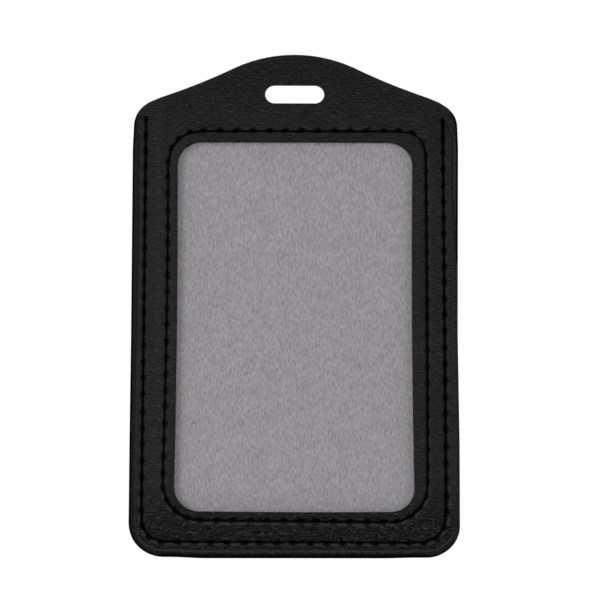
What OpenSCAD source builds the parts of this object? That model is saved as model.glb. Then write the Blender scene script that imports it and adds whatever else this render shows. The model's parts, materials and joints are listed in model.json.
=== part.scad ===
// Upright id badge wallet: a leather-grain front frame with a clear window, sewn to a plain back.
// Millimetres. It hangs upright: X across, Y from front to back, Z up.
// The origin is the centre of the lanyard slot, halfway through the thickness.

/* [Window] */
// Width of the window opening
window_w = 54; // [50:0.5:60]
// Height of the window opening
window_h = 84.2; // [76:0.2:92]
// Radius of the window's corners
window_r = 5; // [2:0.5:6]
// Slot centre down to the window's upper edge
slot_to_window = 11.1; // [10.5:0.1:14]

/* [Arch and corners] */
// Slot centre up to the top of the arch
slot_to_top = 9.3; // [7:0.1:11]
// Radius of the dome over the slot
dome_r = 32.5; // [26:0.5:36]
// Radius of the hollow flanks beside the dome
flank_r = 145; // [120:5:200]
// Radius of the shoulders
shoulder_r = 6.2; // [5:0.2:10]
// Slot centre down to the centre of the shoulder curve
shoulder_drop = 7.4; // [6.5:0.1:10]
// Radius of the back cover's bottom corners
corner_r = 8.2; // [5:0.2:10]

/* [Lanyard slot] */
// Length of the slot, end to end
slot_w = 13.6; // [10:0.2:16]
// Height of the slot
slot_h = 4.3; // [3:0.1:5]

/* [Borders] */
// Window edge out to the window seam, at the sides
window_seam_side = 2.7; // [2.2:0.1:3.5]
// Window edge up to the window seam, at the top
window_seam_top = 2.8; // [2.2:0.1:3.5]
// Window edge down to the window seam, at the bottom
window_seam_bottom = 2; // [1.6:0.1:3]
// Corner radius of the window seam
window_seam_r = 6.6; // [4:0.2:8]
// Film beyond the window seam
film_margin = 1.5; // [1.2:0.1:3]
// Film edge to the foot of the sheet's slope
film_clear = 0.1; // [0.1:0.1:1]
// Corner radius of the raised middle, at its lower corners
raised_r = 0.5; // [0.2:0.1:2]
// Width of the slope where the front comes down to the back
slope_w = 2.2; // [1.6:0.1:4]
// Slope to the side seam
slope_to_seam = 0.9; // [0.8:0.1:1.5]
// Side seam to the front cover's side edge
seam_to_side = 2.3; // [1.6:0.1:4]
// Side seam to the front cover's bottom edge
seam_to_bottom = 3.3; // [1.6:0.1:5]
// How far the back cover shows past the front one at the sides
rim_side = 0.8; // [0:0.1:2]
// How far the back cover shows past the front one at the bottom
rim_bottom = 0.7; // [0:0.1:2]

/* [Sheets] */
// Thickness of the leather-grain sheet
leather_t = 0.9; // [0.7:0.1:1.4]
// Thickness of the textile lining
lining_t = 0.3; // [0.2:0.05:0.6]
// Thickness of the window film
film_t = 0.2; // [0.15:0.05:0.4]
// Thickness of the stiffener board
board_t = 0.4; // [0.3:0.1:0.8]
// Room for the card, from the film to the back lining
pocket_gap = 1.1; // [0.9:0.1:2]

/* [Seams] */
// Length of one stitch
stitch_pitch = 3.7; // [3:0.1:5]
// Width of the thread as it lies
thread_w = 0.5; // [0.3:0.05:0.6]
// Depth of the thread as it lies, let in flush
thread_t = 0.3; // [0.2:0.05:0.5]
// Depth of thread left where a stitch dips at its needle hole
dip_t = 0.15; // [0.1:0.05:0.2]
// Room round the thread in its groove and its needle holes
thread_clear = 0.05; // [0.02:0.01:0.1]
// Radius of the dimple pulled in at each needle hole
dimple_r = 0.55; // [0.4:0.05:0.7]

/* [Mouth] */
// Film's upper edge up to the line where the front tab bends
film_to_bend = 2.3; // [1.8:0.1:2.5]
// End of the side seam below the bend
seam_end_drop = 1.1; // [0.8:0.1:1.5]

/* [Hidden] */
$fn = 24;

// Steps in each round stretch of an outline
arc_steps = 12;
// How far a cut runs past what it cuts
over = 2;

leather_colour = "#232223";
textile_colour = "#929093";
board_colour = "#b9ad98";
thread_colour = "#0e0e0f";
film_colour = [0.85, 0.9, 0.95, 0.35];

// Heights, from the slot's centre
window_top = -slot_to_window;
window_bottom = window_top - window_h;
window_seam_upper = window_top + window_seam_top;
window_seam_lower = window_bottom - window_seam_bottom;
film_top = window_seam_upper + film_margin;
film_bottom = window_seam_lower - film_margin;
bend_z = film_top + film_to_bend;
side_seam_upper = bend_z - seam_end_drop;
raised_bottom = film_bottom - film_clear;
foot_bottom = raised_bottom - slope_w;
side_seam_lower = foot_bottom - slope_to_seam;
front_bottom = side_seam_lower - seam_to_bottom;
back_bottom = front_bottom - rim_bottom;

// Half widths, from the middle line
window_x = window_w / 2;
window_seam_x = window_x + window_seam_side;
film_x = window_seam_x + film_margin;
raised_x = film_x + film_clear;
foot_x = raised_x + slope_w;
side_seam_x = foot_x + slope_to_seam;
front_x = side_seam_x + seam_to_side;
back_x = front_x + rim_side;

// Corner radii that follow from the others
film_r = window_seam_r + film_margin;
foot_r = raised_r + slope_w;
side_seam_r = foot_r + slope_to_seam;
front_corner_r = corner_r - rim_side;

// Faces, from front to back, with the origin halfway through
total_t = 2 * leather_t + 2 * lining_t + film_t + pocket_gap + board_t;
front_y = -total_t / 2;
front_lining_y = front_y + leather_t;
film_y = front_lining_y + lining_t;
pocket_y = film_y + film_t;
back_lining_y = pocket_y + pocket_gap;
board_y = back_lining_y + lining_t;
back_cover_y = board_y + board_t;
back_y = back_cover_y + leather_t;
// How far the middle of the front stands forward of its sewn border
rise = back_lining_y - film_y;
border_y = front_y + rise;

// Needle thread and bobbin thread lock halfway through the layers that they hold
window_lock_y = (front_y + pocket_y) / 2;
side_lock_y = (border_y + back_y) / 2;

// A path is a list of legs: a straight one is [start, end], a round one [centre, radius, from, to]
function is_straight(leg) = len(leg) == 2;
function on_circle(centre, r, angle) = centre + r * [cos(angle), sin(angle)];
function leg_length(leg) =
    is_straight(leg) ? norm(leg[1] - leg[0]) : abs(leg[3] - leg[2]) * PI / 180 * leg[1];
function on_leg(leg, share) =
    is_straight(leg) ? leg[0] + (leg[1] - leg[0]) * share
    : on_circle(leg[0], leg[1], leg[2] + (leg[3] - leg[2]) * share);
function path_length(path, first = 0) =
    first == len(path) ? 0 : leg_length(path[first]) + path_length(path, first + 1);
function on_path(path, s, first = 0) =
    first == len(path) - 1 || s <= leg_length(path[first])
        ? on_leg(path[first], s / leg_length(path[first]))
        : on_path(path, s - leg_length(path[first]), first + 1);
function path_points(path) = [
    for (leg = path)
        for (i = [0 : is_straight(leg) ? 1 : arc_steps])
            on_leg(leg, i / (is_straight(leg) ? 1 : arc_steps))
];

// A closed loop with four round corners, from the middle of its top, clockwise
function loop_path(x, top, bottom, r) = [
    [[0, top], [x - r, top]],
    [[x - r, top - r], r, 90, 0],
    [[x, top - r], [x, bottom + r]],
    [[x - r, bottom + r], r, 0, -90],
    [[x - r, bottom], [r - x, bottom]],
    [[r - x, bottom + r], r, -90, -180],
    [[-x, bottom + r], [-x, top - r]],
    [[r - x, top - r], r, 180, 90],
    [[r - x, top], [0, top]]
];

// An open U, down the right side, along the bottom and up the left side
function u_path(x, top, bottom, r) = [
    [[x, top], [x, bottom + r]],
    [[x - r, bottom + r], r, 0, -90],
    [[x - r, bottom], [r - x, bottom]],
    [[r - x, bottom + r], r, -90, -180],
    [[-x, bottom + r], [-x, top]]
];

// The hollow flank's circle touches the dome from outside, and the back cover's shoulder too
dome_centre = [0, slot_to_top - dome_r];
shoulder_centre = [back_x - shoulder_r, -shoulder_drop];
dome_reach = dome_r + flank_r;
shoulder_reach = shoulder_r + flank_r;
centres = shoulder_centre - dome_centre;
centres_d = norm(centres);
centres_along = (dome_reach ^ 2 - shoulder_reach ^ 2 + centres_d ^ 2) / (2 * centres_d);
centres_across = sqrt(dome_reach ^ 2 - centres_along ^ 2);
flank_centre = dome_centre
    + centres / centres_d * centres_along
    + [-centres[1], centres[0]] / centres_d * centres_across;
dome_angle = atan2(flank_centre[1] - dome_centre[1], flank_centre[0] - dome_centre[0]);

// The shoulder of a sheet of half width x touches the same flank, so both arches are alike
function shoulder_at(x) = [
    x - shoulder_r,
    flank_centre[1] - sqrt(shoulder_reach ^ 2 - (flank_centre[0] - x + shoulder_r) ^ 2)
];
function angle_from(a, b) = atan2(b[1] - a[1], b[0] - a[0]);
function across(p) = [-p[0], p[1]];

// Outline of a cover, from the bottom right corner round over the arch to the bottom left one
function cover_path(x, bottom, r) =
    let (s = shoulder_at(x), a = angle_from(s, flank_centre))
    [
        [[x - r, bottom + r], r, -90, 0],
        [s, shoulder_r, 0, a],
        [flank_centre, flank_r, a - 180, dome_angle - 180],
        [dome_centre, dome_r, dome_angle, 180 - dome_angle],
        [across(flank_centre), flank_r, -dome_angle, -a],
        [across(s), shoulder_r, 180 - a, 180],
        [[r - x, bottom + r], r, 180, 270]
    ];

window_seam = loop_path(window_seam_x, window_seam_upper, window_seam_lower, window_seam_r);
side_seam = u_path(side_seam_x, side_seam_upper, side_seam_lower, side_seam_r);
window_stitches = round(path_length(window_seam) / stitch_pitch);
side_stitches = round(path_length(side_seam) / stitch_pitch);
// A closed seam ends in its first needle hole, an open one has one hole more than stitches
window_holes = [
    for (i = [0 : window_stitches - 1])
        on_path(window_seam, path_length(window_seam) * i / window_stitches)
];
side_holes = [
    for (i = [0 : side_stitches]) on_path(side_seam, path_length(side_seam) * i / side_stitches)
];

// A flat sheet cut to its children's outline, from its front face y back through its thickness t
module layer(y, t) {
    translate([0, y + t, 0]) rotate([90, 0, 0]) linear_extrude(t) children();
}

module front_outline() {
    polygon(path_points(cover_path(front_x, front_bottom, front_corner_r)));
}

module back_outline() {
    polygon(path_points(cover_path(back_x, back_bottom, corner_r)));
}

module window_outline() {
    polygon(path_points(loop_path(window_x, window_top, window_bottom, window_r)));
}

module slot_outline() {
    straight = slot_w - slot_h;
    square([straight, slot_h], center = true);
    for (side = [-1, 1]) translate([side * straight / 2, 0]) circle(d = slot_h);
}

// The line of a seam, as wide as asked
module window_seam_line(w) {
    h = w / 2;
    difference() {
        polygon(path_points(loop_path(
            window_seam_x + h, window_seam_upper + h, window_seam_lower - h, window_seam_r + h)));
        polygon(path_points(loop_path(
            window_seam_x - h, window_seam_upper - h, window_seam_lower + h, window_seam_r - h)));
    }
}

module side_seam_line(w) {
    h = w / 2;
    difference() {
        polygon(path_points(u_path(
            side_seam_x + h, side_seam_upper, side_seam_lower - h, side_seam_r + h)));
        polygon(path_points(u_path(
            side_seam_x - h, side_seam_upper + over, side_seam_lower + h, side_seam_r - h)));
    }
}

module dots(places, r) {
    for (p = places) translate(p) circle(r);
}

module needle_holes(places) {
    dots(places, thread_w / 2 + thread_clear);
}

// What the stitches press into the face of a leather-grain sheet
module window_seam_recess() {
    window_seam_line(thread_w + 2 * thread_clear);
    dots(window_holes, dimple_r);
}

module side_seam_recess() {
    side_seam_line(thread_w + 2 * thread_clear);
    dots(side_holes, dimple_r);
}

// The room inside the border: straight where it meets the back, drawn in by the slope in front
module raised_block(y, depth) {
    hull() {
        layer(y, depth)
            polygon(path_points(u_path(raised_x, slot_to_top + over, raised_bottom, raised_r)));
        layer(y + rise, depth)
            polygon(path_points(u_path(foot_x, slot_to_top + over, foot_bottom, foot_r)));
    }
}

// The front's formed sheet, of thickness t, with its raised front face at y
module formed_sheet(y, t) {
    difference() {
        intersection() {
            layer(y, rise + t) front_outline();
            union() {
                layer(y + rise, t) front_outline();
                raised_block(y, t);
            }
        }
        raised_block(y + t, t + over);
        layer(y - over, t + 2 * over) window_outline();
        layer(y - over, t + 2 * over) slot_outline();
        layer(y - over, t + 2 * over) needle_holes(window_holes);
        layer(y + rise - over, t + 2 * over) needle_holes(side_holes);
    }
}

// Keeps what lies above or below the line where the front tab bends
module above_bend() {
    intersection() {
        children();
        layer(front_y - over, total_t + 2 * over)
            translate([-back_x, bend_z]) square([2 * back_x, slot_to_top - bend_z + over]);
    }
}

module below_bend() {
    intersection() {
        children();
        layer(front_y - over, total_t + 2 * over)
            translate([-back_x, back_bottom]) square([2 * back_x, bend_z - back_bottom]);
    }
}

module front_leather() {
    difference() {
        formed_sheet(front_y, leather_t);
        layer(front_y, thread_t) window_seam_recess();
        layer(border_y, thread_t) side_seam_recess();
    }
}

module front_cover() {
    color(leather_colour) below_bend() front_leather();
}

module front_tab() {
    color(leather_colour) above_bend() formed_sheet(front_y, leather_t);
}

module front_lining() {
    color(textile_colour) below_bend() formed_sheet(front_lining_y, lining_t);
}

module front_tab_lining() {
    color(textile_colour) above_bend() formed_sheet(front_lining_y, lining_t);
}

module window_film() {
    color(film_colour) layer(film_y, film_t) difference() {
        polygon(path_points(loop_path(film_x, film_top, film_bottom, film_r)));
        needle_holes(window_holes);
    }
}

// A flat back sheet, with the slot and the side seam's needle holes through it
module back_sheet(y, t) {
    layer(y, t) difference() {
        back_outline();
        slot_outline();
        needle_holes(side_holes);
    }
}

module back_cover() {
    color(leather_colour) difference() {
        back_sheet(back_cover_y, leather_t);
        layer(back_y - thread_t, thread_t) side_seam_recess();
    }
}

module back_board() {
    color(board_colour) back_sheet(board_y, board_t);
}

module back_lining() {
    color(textile_colour) back_sheet(back_lining_y, lining_t);
}

// A row of stitches on the face at y, with a leg down each needle hole to lock_y.
// It lies behind that face, or in front of it where facing_back is true.
module thread(y, lock_y, places, facing_back = false) {
    flat_t = thread_t - dip_t;
    upper = facing_back ? y - flat_t : y;
    lower = facing_back ? y - thread_t : y + flat_t;
    legs = facing_back ? lock_y : lower;
    layer(upper, flat_t) difference() {
        children();
        dots(places, dimple_r);
    }
    layer(lower, dip_t) children();
    layer(legs, abs(lock_y - lower)) dots(places, thread_w / 2);
}

module window_seam_top_thread() {
    color(thread_colour) thread(front_y, window_lock_y, window_holes) window_seam_line(thread_w);
}

module window_seam_bobbin_thread() {
    color(thread_colour) thread(pocket_y + thread_t, window_lock_y, window_holes, true)
        window_seam_line(thread_w);
}

module side_seam_top_thread() {
    color(thread_colour) thread(border_y, side_lock_y, side_holes) side_seam_line(thread_w);
}

module side_seam_bobbin_thread() {
    color(thread_colour) thread(back_y, side_lock_y, side_holes, true) side_seam_line(thread_w);
}

front_cover();
front_tab();
front_lining();
front_tab_lining();
window_film();
window_seam_top_thread();
window_seam_bobbin_thread();
back_cover();
back_board();
back_lining();
side_seam_top_thread();
side_seam_bobbin_thread();
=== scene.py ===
"""Leather, cloth, film and stitches of an upright badge wallet, built round its packed frame.

Metres. X runs across the wallet, Y from its front to its back and Z up, and the origin is the
centre of the lanyard slot. Outlines are drawn in X and Z, and a face of a sheet is a height along Y.
"""
import json
import math

import bmesh
import bpy
import numpy as np
from mathutils import Matrix, Vector


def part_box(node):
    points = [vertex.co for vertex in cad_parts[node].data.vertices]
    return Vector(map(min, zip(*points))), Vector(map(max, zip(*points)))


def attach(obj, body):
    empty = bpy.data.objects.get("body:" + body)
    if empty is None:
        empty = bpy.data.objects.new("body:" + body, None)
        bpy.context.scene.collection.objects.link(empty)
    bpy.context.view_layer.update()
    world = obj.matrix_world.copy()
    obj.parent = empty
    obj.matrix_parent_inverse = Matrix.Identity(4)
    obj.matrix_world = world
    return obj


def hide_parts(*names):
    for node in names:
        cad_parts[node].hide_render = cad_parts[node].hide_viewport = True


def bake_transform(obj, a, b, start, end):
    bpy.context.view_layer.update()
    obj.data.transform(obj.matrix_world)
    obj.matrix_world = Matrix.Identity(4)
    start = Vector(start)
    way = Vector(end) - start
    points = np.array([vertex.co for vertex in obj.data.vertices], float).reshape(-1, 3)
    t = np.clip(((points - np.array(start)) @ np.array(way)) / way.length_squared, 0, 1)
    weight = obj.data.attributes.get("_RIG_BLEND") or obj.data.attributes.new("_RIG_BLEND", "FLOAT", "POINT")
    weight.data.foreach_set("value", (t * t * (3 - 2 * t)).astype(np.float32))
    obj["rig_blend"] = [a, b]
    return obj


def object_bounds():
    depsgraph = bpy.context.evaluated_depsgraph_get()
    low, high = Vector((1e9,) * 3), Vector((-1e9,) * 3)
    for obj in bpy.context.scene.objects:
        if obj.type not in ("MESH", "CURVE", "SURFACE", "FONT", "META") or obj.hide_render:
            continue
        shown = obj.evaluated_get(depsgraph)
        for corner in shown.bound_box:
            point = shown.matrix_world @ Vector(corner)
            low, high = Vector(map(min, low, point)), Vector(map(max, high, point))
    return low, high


bl_info = {
    "name": "Badge Wallet",
    "version": (1, 0, 0),
    "blender": (4, 5, 0),
    "location": "View3D > Sidebar > Badge Wallet",
    "description": "Builds the finished pieces of an upright badge wallet round its frame",
    "category": "Add Mesh",
}

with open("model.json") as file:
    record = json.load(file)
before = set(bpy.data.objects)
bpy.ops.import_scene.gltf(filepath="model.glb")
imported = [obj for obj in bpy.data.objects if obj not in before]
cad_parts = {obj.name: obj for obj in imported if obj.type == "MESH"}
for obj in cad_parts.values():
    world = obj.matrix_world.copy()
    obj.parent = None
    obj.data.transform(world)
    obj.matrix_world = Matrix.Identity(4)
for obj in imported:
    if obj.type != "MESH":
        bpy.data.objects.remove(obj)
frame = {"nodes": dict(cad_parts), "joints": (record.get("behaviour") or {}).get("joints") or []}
CAD_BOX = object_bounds()
MM = 0.001

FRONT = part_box("front_cover")
FRONT_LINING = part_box("front_lining")
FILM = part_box("window_film")
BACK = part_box("back_cover")
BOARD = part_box("back_board")
BACK_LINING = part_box("back_lining")
MOUTH = frame["joints"][0]


def length(name, description, default, low=0.0, high=0.5):
    """A length that a user can set, in metres."""
    return bpy.props.FloatProperty(
        name=name, description=description, default=default, min=low, max=high,
        precision=5, unit="LENGTH", subtype="DISTANCE",
    )


def in_mm(name, description, default, low=0.0, high=500.0):
    """A length that a user can set, whose numbers here are in millimetres."""
    return length(name, description, default * MM, low * MM, high * MM)


def share(name, description, default, high=1.0):
    """A plain number from nought up."""
    return bpy.props.FloatProperty(
        name=name, description=description, default=default, min=0.0, max=high, precision=3,
    )


def corner(name, *default):
    """A corner of a loop, in millimetres. Its side runs on clockwise to the next corner."""
    return bpy.props.FloatVectorProperty(
        name=name, description="Across, up, radius, and how far the next side bows in",
        default=[part * MM for part in default], size=4, precision=5, unit="LENGTH",
    )


def lean(name, *default):
    """How far a side stands out of true, in millimetres, at five heights from bend to bottom."""
    return bpy.props.FloatVectorProperty(
        name=name, description="How far it stands out, from the bend down to the bottom",
        default=[part * MM for part in default], size=5, precision=5, unit="LENGTH",
    )


def colour(name, description, default):
    """A colour, in linear light."""
    return bpy.props.FloatVectorProperty(
        name=name, description=description, default=default, min=0.0, max=1.0, size=3, subtype="COLOR",
    )


def group(kind, name):
    """A group of settings, which its own class describes."""
    return bpy.props.PointerProperty(type=kind, name=name, description=kind.__doc__)


class CoverSizes(bpy.types.PropertyGroup):
    """The outlines of the two covers and the forming of the front one."""

    front_x: length("Front half width", "Middle line to the front cover's side", FRONT[1].x)
    back_x: length("Back half width", "Middle line to the back cover's side", BACK[1].x)
    front_bottom: length("Front bottom", "Height of the front cover's lower edge", FRONT[0].z, -0.5)
    back_bottom: length("Back bottom", "Height of the back cover's lower edge", BACK[0].z, -0.5)
    front_left: in_mm("Front left corner", "Radius of the front cover's lower left corner", 7.4)
    front_right: in_mm("Front right corner", "Radius of its lower right corner", 6.7)
    back_left: in_mm("Back left corner", "Radius of the back cover's lower left corner", 8.1)
    back_right: in_mm("Back right corner", "Radius of its lower right corner", 7.4)
    arch_top: length("Arch top", "Height of the arch over the slot", BACK[1].z)
    dome_r: in_mm("Dome", "Radius of the dome over the slot", 32.5)
    flank_r: in_mm("Flank", "Radius of the hollow flanks beside the dome", 145)
    shoulder_r: in_mm("Shoulder", "Radius of the shoulders", 5.5)
    shoulder_drop: in_mm("Shoulder drop", "Slot centre down to the shoulder's centre", 6.9)
    slot_w: in_mm("Slot length", "Length of the lanyard slot", 13.6)
    slot_h: in_mm("Slot height", "Height of the lanyard slot", 4.3)
    slot_rise: in_mm("Slot rise", "How much further up the slot reaches in the back", 0.6)
    slot_spread: in_mm("Slot spread", "How much further it reaches at each end", 0.2)
    shy: in_mm("Shy", "How far the back's inner layers stop short of its edge", 0.25)
    bend: length("Bend", "Height of the line where the front tab bends", FRONT[1].z, -0.5)
    raised_x: in_mm("Raised half width", "Middle line to the top of the front's side slope", 31.3)
    raised_bottom: in_mm("Raised bottom", "Height of the top of the lower slope", -98.9, -500)
    raised_r: in_mm("Raised corner", "Corner radius at the top of the slope", 0.5)
    slope_w: in_mm("Slope", "Width of the slope down to the sewn border", 2.2)
    ease: in_mm("Ease", "How much wider the grain side rounds that slope off", 0.95)
    rise: in_mm("Rise", "How far the middle stands forward of the border", 1.3)
    trim_top: in_mm("Trim, top left", "How much narrower the front's left border is cut", 0.8)
    trim_foot: in_mm("Trim, foot", "The same at the foot of the left border", 0.3)
    trim_right: in_mm("Trim, top right", "The same at the top of its right border", 0.65)
    trim_bottom: in_mm("Trim, bottom", "The same along its lower border", 0.3)
    reach_right: in_mm("Reach, right", "How much wider its right border is lower down", 0.46)
    lift_left: in_mm("Left lift", "How far the lower edge rises towards its left end", 0.28)
    lift_right: in_mm("Right lift", "How far it rises towards its right end", 0.15)
    shoulder_in: in_mm("Shoulder lean", "How far the sides lean in under the shoulders", 0.25)
    left_lean: lean("Left side", -0.1, -0.1, -0.12, 0, 0.03)
    right_lean: lean("Right side", 0.44, 0.2, 0, 0.27, 0.2)
    edge_r: in_mm("Edge rounding", "Rounding of the leather's outer edges", 0.55)
    cut_r: in_mm("Cut rounding", "Rounding of the window's and the slot's edges", 0.12)
    cell: in_mm("Mesh size", "Spacing of the leather mesh along its outline", 0.34, 0.1)


class WindowSizes(bpy.types.PropertyGroup):
    """The window's edge."""

    top_right: corner("Top right", 27.05, -11.05, 5.5, 0.3)
    bottom_right: corner("Bottom right", 27.25, -95.45, 5.2, -0.12)
    bottom_left: corner("Bottom left", -27.15, -95.35, 5.6, 0.25)
    top_left: corner("Top left", -26.85, -11.05, 5.45, 0)


class WindowSeamSizes(bpy.types.PropertyGroup):
    """The seam round the window, as the needle went."""

    top_right: corner("Top right", 30.1, -8.6, 4.9, -0.14)
    bottom_right: corner("Bottom right", 30.12, -97.8, 8.2, 0)
    bottom_left: corner("Bottom left", -29.65, -97.2, 8.1, 0.3)
    top_left: corner("Top left", -28.9, -8.65, 7.1, -0.1)


class SideSeamSizes(bpy.types.PropertyGroup):
    """The U-shaped seam, as the needle went."""

    top_right: corner("Top right", 34.2, -6, 0, 0)
    bottom_right: corner("Bottom right", 34.45, -102.4, 5.9, 0)
    bottom_left: corner("Bottom left", -34.5, -102.1, 5, 0)
    top_left: corner("Top left", -34.25, -5.6, 0, 0)


class StitchSizes(bpy.types.PropertyGroup):
    """The stitches, and how they pull the leather in."""

    pitch: in_mm("Stitch", "Length of one stitch on a straight", 3.74, 0.5)
    crowd: share("Crowding", "How much closer the stitches are on a bend", 1.25, 3.0)
    tack: in_mm("Tack", "How far the side seam is sewn over again at its right end", 6.5)
    drift: in_mm("Drift", "How far the needle strays along the seam", 0.3)
    thread_w: in_mm("Thread width", "Width of the thread as it lies", 0.38)
    thread_t: in_mm("Thread thickness", "Thickness of the thread as it lies", 0.3)
    sink: in_mm("Sink", "How deep the thread lies in the leather", 0.1)
    valley: in_mm("Valley depth", "How far a stitch pulls the leather in", 0.3)
    valley_w: in_mm("Valley width", "Half width of that valley", 0.4)
    dimple: in_mm("Dimple depth", "How much deeper the leather lies at a needle hole", 0.45)
    dimple_w: in_mm("Dimple width", "Half width of that dimple", 0.6)
    hole_stretch: share("Hole stretch", "How much longer a needle hole is than wide", 1.5, 4.0)
    pull: in_mm("Pull", "How far a needle hole is drawn out of a level seam", 0.2)
    plunge: in_mm("Plunge", "How far a stitch dives at its ends", 0.5)


class FinishSettings(bpy.types.PropertyGroup):
    """Colours and textures."""

    leather: colour("Leather", "Colour of the leather grain", (0.0155, 0.0153, 0.0156))
    # Painted light: the grain's tops, the lips beside the seams, along the front's outer edge, and on the
    # right of the cloth's border
    painted_light: colour("Rubbed leather", "Colour where the grain is rubbed", (0.0410, 0.0400, 0.0414))
    # Painted shade in the grain's creases
    crease: colour("Crease", "Colour in the creases of the grain", (0.0016, 0.0016, 0.0017))
    paint: colour("Edge paint", "Colour of the painted edges", (0.0010, 0.0010, 0.0010))
    # The cloth's border near its outer edge and round the slot is this darker colour
    ledge: colour("Ledge", "Colour of the cloth's dyed border", (0.0155, 0.0153, 0.0157))
    # Painted shade along the seams, in their needle holes and in the shoulder folds
    painted_mark: colour("Needle stain", "Colour where a thread pulls the leather in", (0.0004, 0.0004, 0.0004))
    thread: colour("Thread", "Colour of the sewing thread", (0.0006, 0.0006, 0.0007))
    cloth_dark: colour("Cloth, dark", "Dark strands of the napped cloth", (0.147, 0.142, 0.150))
    cloth_light: colour("Cloth, light", "Light strands of the napped cloth", (0.326, 0.317, 0.332))
    board: colour("Board", "Colour of the stiffener board", (0.36, 0.30, 0.22))
    fold: in_mm("Fold", "Length of one fold of the grain", 1.7)
    spacing: in_mm("Spacing", "Height of one fold of the grain", 0.6)
    wander: share("Wander", "How much the folds wander up and down, in folds", 3.2, 20.0)
    grain_depth: in_mm("Grain depth", "Depth of the grain", 0.07)
    strand_w: in_mm("Strand width", "Width of one strand of the nap", 0.25)
    strand_l: in_mm("Strand length", "Length of one strand of the nap", 1.1)


class StageSettings(bpy.types.PropertyGroup):
    """Floor, light and the photograph's viewpoint."""

    floor_z: in_mm("Floor", "Height of the floor under the hanging wallet", -200, -2000)
    sky: share("Sky", "Strength of the even light from all round", 0.42, 2.0)
    key: share("Key", "Power of the upper left lamp, in watts", 4.4, 50.0)
    fill: share("Fill", "Power of the right lamp, in watts", 2.7, 50.0)
    rear: share("Rear", "Power of the lamp behind, in watts", 6.0, 50.0)
    distance: in_mm("Distance", "Camera to the point that it looks at", 362.5, 0, 2000)
    target_x: in_mm("Target X", "Where the camera looks, across", 1.295, -500)
    target_z: in_mm("Target Z", "Where the camera looks, up", -47.37, -500)
    pitch: share("Pitch", "How far the camera looks up, in degrees", 4.647, 90.0)
    yaw: share("Yaw", "How far the camera looks to the right, in degrees", 0.443, 90.0)
    roll: share("Roll", "How far the camera leans, in degrees", 0.078, 90.0)
    lens: share("Lens", "Focal length in millimetres", 95.04, 500.0)


class BadgeWallet(bpy.types.PropertyGroup):
    """All the settings of the wallet."""

    cover: group(CoverSizes, "Covers")
    window: group(WindowSizes, "Window")
    window_seam: group(WindowSeamSizes, "Window seam")
    side_seam: group(SideSeamSizes, "Side seam")
    stitch: group(StitchSizes, "Stitches")
    finish: group(FinishSettings, "Finish")
    stage: group(StageSettings, "Stage")


# Outlines: an outline is a list of straight and round legs


class Line:
    """A straight leg of an outline, or one that bows in a little to its right."""

    def __init__(self, start, end, bow=0.0):
        self.start = np.array(start, float)
        self.end = np.array(end, float)
        self.bow = bow
        along = self.end - self.start
        self.inward = np.array((along[1], -along[0])) / np.linalg.norm(along)

    def length(self):
        return float(np.linalg.norm(self.end - self.start))

    def at(self, shares):
        shares = np.asarray(shares, float)
        bowed = 4 * self.bow * shares * (1 - shares)
        return self.start + np.outer(shares, self.end - self.start) + np.outer(bowed, self.inward)

    def distance(self, points):
        along = self.end - self.start
        nearest = np.clip((points - self.start) @ along / (along @ along), 0, 1)
        return np.linalg.norm(points - self.at(nearest), axis=1)


class Arc:
    """A round leg of an outline, from one angle to another, in degrees."""

    def __init__(self, centre, radius, first, last):
        self.centre = np.array(centre, float)
        self.radius = radius
        self.first = first
        self.last = last

    def length(self):
        return math.radians(abs(self.last - self.first)) * self.radius

    def at(self, shares):
        turn = np.radians(self.first + (self.last - self.first) * np.asarray(shares, float))
        return self.centre + self.radius * np.column_stack((np.cos(turn), np.sin(turn)))

    def distance(self, points):
        out = points - self.centre
        turn = np.degrees(np.arctan2(out[:, 1], out[:, 0]))
        low, high = sorted((self.first, self.last))
        to_round = np.abs(np.linalg.norm(out, axis=1) - self.radius)
        to_ends = np.min([np.linalg.norm(points - end, axis=1) for end in self.at([0, 1])], axis=0)
        return np.where((turn - low) % 360 <= high - low, to_round, to_ends)


def outline_distance(legs, points):
    """How far each point is from the nearest leg."""
    return np.min([leg.distance(points) for leg in legs], axis=0)


def stations(legs, places):
    """The points at these distances along an outline."""
    ends = np.cumsum([leg.length() for leg in legs])
    found = []
    for place in places:
        number = min(int(np.searchsorted(ends, place)), len(legs) - 1)
        leg = legs[number]
        start = ends[number] - leg.length()
        found.append(leg.at([(place - start) / leg.length()])[0])
    return np.array(found)


def spread(legs, count):
    """Points at even distances along an outline, without its last one."""
    total = sum(leg.length() for leg in legs)
    return stations(legs, total * np.arange(count) / count)


def in_counts(legs, counts):
    """Points along an outline with so many on each leg, without its last one."""
    return np.vstack([leg.at(np.arange(n) / n) for leg, n in zip(legs, counts)])


def corners_of(group):
    """The four corners of a loop in its settings, clockwise from the top right."""
    return [tuple(c) for c in (group.top_right, group.bottom_right, group.bottom_left, group.top_left)]


def box_corners(x, top, bottom, top_r, bottom_r):
    """The four corners of an upright loop about the middle line."""
    return [(x, top, top_r, 0), (x, bottom, bottom_r, 0), (-x, bottom, bottom_r, 0), (-x, top, top_r, 0)]


def rounded_loop(corners):
    """Legs of a loop with round corners: each corner's arc, then the side that follows it."""
    arcs = []
    places = [np.array(c[:2]) for c in corners]
    for number, (_, _, radius, _) in enumerate(corners):
        here, last, after = places[number], places[number - 1], places[(number + 1) % len(places)]
        came = (here - last) / np.linalg.norm(here - last)
        goes = (after - here) / np.linalg.norm(after - here)
        turn = math.acos(np.clip(came @ goes, -1, 1))
        inward = np.array((came[1], -came[0]))
        centre = here - came * radius * math.tan(turn / 2) + inward * radius
        first = math.degrees(math.atan2(-inward[1], -inward[0]))
        arcs.append(Arc(centre, radius, first, first - math.degrees(turn)))
    legs = []
    for number, arc in enumerate(arcs):
        after = arcs[(number + 1) % len(arcs)]
        legs += [arc, Line(arc.at([1])[0], after.at([0])[0], corners[number][3])]
    return legs


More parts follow.
